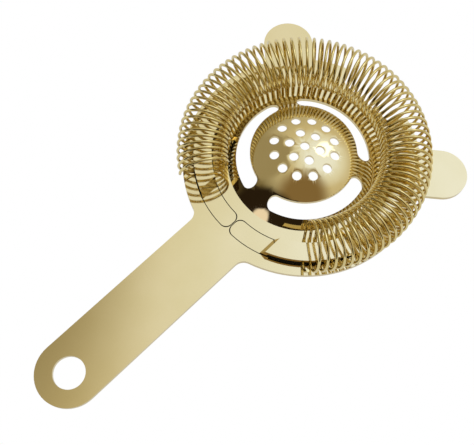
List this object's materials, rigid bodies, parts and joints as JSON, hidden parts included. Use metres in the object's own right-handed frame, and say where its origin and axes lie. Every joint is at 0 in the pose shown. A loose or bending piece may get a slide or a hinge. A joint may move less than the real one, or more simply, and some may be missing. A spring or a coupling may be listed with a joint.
{
  "type": "hawthorne strainer",
  "caption": "Bar strainer with a flat handle, raised perforated hub, two rim tabs and a coiled wire spring round the hub.",
  "frame": {"origin": "the hub's axis at the flat back face of the plate", "axes": "+Z along the hub's axis, from the flat back towards the dome and spring; +Y away from the handle; +X to the right seen from the spring side"},
  "size_m": [0.0842, 0.1454, 0.0175],
  "materials": {
    "plate_metal": "polished gold plate on stainless steel",
    "spring_wire": "polished gold plate on spring steel wire"
  },
  "bodies": {
    "strainer_plate": {"strainer_plate": "plate_metal", "spring_end_right": "spring_wire", "spring_end_left": "spring_wire"},
    "side_coils_1": {"spring_right_1": "spring_wire", "spring_left_1": "spring_wire"},
    "side_coils_2": {"spring_right_2": "spring_wire", "spring_left_2": "spring_wire"},
    "side_coils_3": {"spring_right_3": "spring_wire", "spring_left_3": "spring_wire"},
    "side_coils_4": {"spring_right_4": "spring_wire", "spring_left_4": "spring_wire"},
    "side_coils_5": {"spring_right_5": "spring_wire", "spring_left_5": "spring_wire"},
    "front_coils": {"spring_front_right": "spring_wire", "spring_front_middle": "spring_wire", "spring_front_left": "spring_wire"}
  },
  "joints": [
    {"name": "front_squeeze", "type": "slide", "parent": "strainer_plate", "child": "side_coils_1", "axis": [0, -1, 0], "range_m": [0, 0.0005], "stiffness_N_per_m": 2000},
    {"name": "squeeze_stretch_2", "type": "slide", "parent": "side_coils_1", "child": "side_coils_2", "axis": [0, -1, 0], "range_m": [0, 0.0005], "stiffness_N_per_m": 2000},
    {"name": "squeeze_stretch_3", "type": "slide", "parent": "side_coils_2", "child": "side_coils_3", "axis": [0, -1, 0], "range_m": [0, 0.0005], "stiffness_N_per_m": 2000},
    {"name": "squeeze_stretch_4", "type": "slide", "parent": "side_coils_3", "child": "side_coils_4", "axis": [0, -1, 0], "range_m": [0, 0.0005], "stiffness_N_per_m": 2000},
    {"name": "squeeze_stretch_5", "type": "slide", "parent": "side_coils_4", "child": "side_coils_5", "axis": [0, -1, 0], "range_m": [0, 0.0005], "stiffness_N_per_m": 2000},
    {"name": "squeeze_stretch_6", "type": "slide", "parent": "side_coils_5", "child": "front_coils", "axis": [0, -1, 0], "range_m": [0, 0.0005], "stiffness_N_per_m": 2000}
  ],
  "couplings": [
    {"joint": "squeeze_stretch_2", "follows": "front_squeeze", "ratio": 1},
    {"joint": "squeeze_stretch_3", "follows": "front_squeeze", "ratio": 1},
    {"joint": "squeeze_stretch_4", "follows": "front_squeeze", "ratio": 1},
    {"joint": "squeeze_stretch_5", "follows": "front_squeeze", "ratio": 1},
    {"joint": "squeeze_stretch_6", "follows": "front_squeeze", "ratio": 1}
  ]
}
